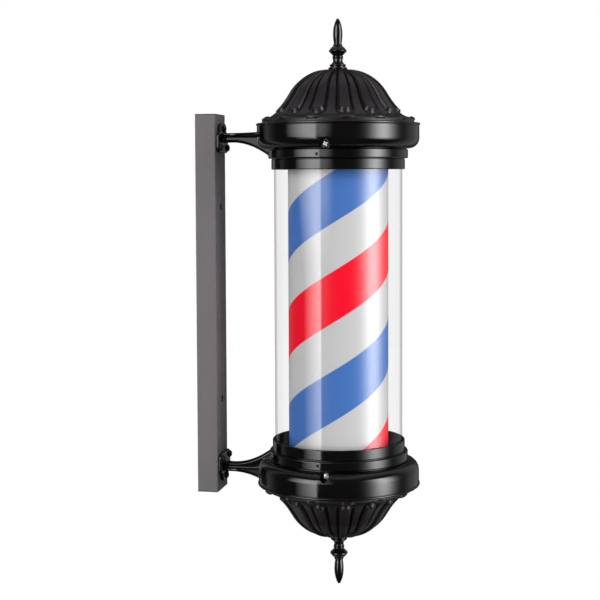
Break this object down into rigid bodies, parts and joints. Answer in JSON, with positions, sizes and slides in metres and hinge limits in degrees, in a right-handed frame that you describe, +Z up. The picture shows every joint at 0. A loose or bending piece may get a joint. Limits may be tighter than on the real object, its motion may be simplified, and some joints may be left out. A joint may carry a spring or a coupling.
{
  "type": "barber pole light",
  "caption": "Wall-mounted barber pole light: a clear tube with a turning striped drum between stepped collars, fluted domes and finials, on arms from a wall rail.",
  "frame": {"origin": "centre of the wall rail's back face, on the wall plane", "axes": "+X straight out from the wall towards the lamp, +Z up along the lamp's axis, +Y to one side"},
  "size_m": [0.2795, 0.2028, 0.711],
  "materials": {
    "gloss_black": "gloss black enamel on cast aluminium",
    "satin_black": "satin black powder coat",
    "black_screw": "black oxide steel",
    "plated_steel": "zinc plated steel",
    "clear_tube": "clear polished tube",
    "drum_film": "white film with red and blue helical stripes",
    "aluminium": "drawn aluminium",
    "white_plastic": "moulded white plastic",
    "black_rubber": "soft black rubber",
    "led_strip": "white board with pale yellow blocks"
  },
  "bodies": {
    "frame": {"cable_grommet": "black_rubber", "column_lead": "black_rubber", "gear_motor": "plated_steel", "glass_tube": "clear_tube", "lamp_plate": "satin_black", "led_driver": "white_plastic", "led_strip_1": "led_strip", "led_strip_2": "led_strip", "led_strip_3": "led_strip", "light_column": "aluminium", "lower_arm": "gloss_black", "lower_arm_bolt": "plated_steel", "lower_arm_screw_1": "black_screw", "lower_arm_screw_2": "black_screw", "lower_arm_screw_3": "black_screw", "lower_bolt_nut": "plated_steel", "lower_collar": "gloss_black", "lower_column_clamp": "aluminium", "lower_dome": "gloss_black", "lower_dome_bolt": "plated_steel", "lower_dome_strap": "plated_steel", "lower_finial": "gloss_black", "lower_grub_screw_back": "black_screw", "lower_grub_screw_front": "black_screw", "lower_plate_screw_back": "plated_steel", "lower_plate_screw_front": "plated_steel", "lower_tube_gasket": "black_rubber", "motor_lead": "black_rubber", "motor_plate": "satin_black", "motor_screw_1": "plated_steel", "motor_screw_2": "plated_steel", "rail_cap_bottom": "satin_black", "rail_cap_top": "satin_black", "terminal_block": "white_plastic", "upper_arm": "gloss_black", "upper_arm_bolt": "plated_steel", "upper_arm_screw_1": "black_screw", "upper_arm_screw_2": "black_screw", "upper_arm_screw_3": "black_screw", "upper_bolt_nut": "plated_steel", "upper_collar": "gloss_black", "upper_column_clamp": "aluminium", "upper_dome": "gloss_black", "upper_dome_bolt": "plated_steel", "upper_dome_strap": "plated_steel", "upper_finial": "gloss_black", "upper_grub_screw_back": "black_screw", "upper_grub_screw_front": "black_screw", "upper_plate_screw_back": "plated_steel", "upper_plate_screw_front": "plated_steel", "upper_tube_gasket": "black_rubber", "wall_rail": "satin_black"},
    "drum": {"drum_sleeve": "drum_film", "drum_disc_upper": "white_plastic", "drum_disc_lower": "white_plastic", "drum_bush_upper": "white_plastic", "drum_bush_lower": "white_plastic", "drum_gear": "white_plastic"},
    "pinion": {"motor_shaft": "plated_steel", "drive_pinion": "white_plastic"}
  },
  "joints": [
    {"name": "drum_spin", "type": "hinge", "parent": "frame", "child": "drum", "pos_m": [0.1775, 0, 0], "axis": [0, 0, 1], "continuous": true},
    {"name": "pinion_spin", "type": "hinge", "parent": "frame", "child": "pinion", "pos_m": [0.2125, 0, -0.1793], "axis": [0, 0, 1], "continuous": true}
  ],
  "couplings": [
    {"joint": "pinion_spin", "follows": "drum_spin", "ratio": -3}
  ]
}
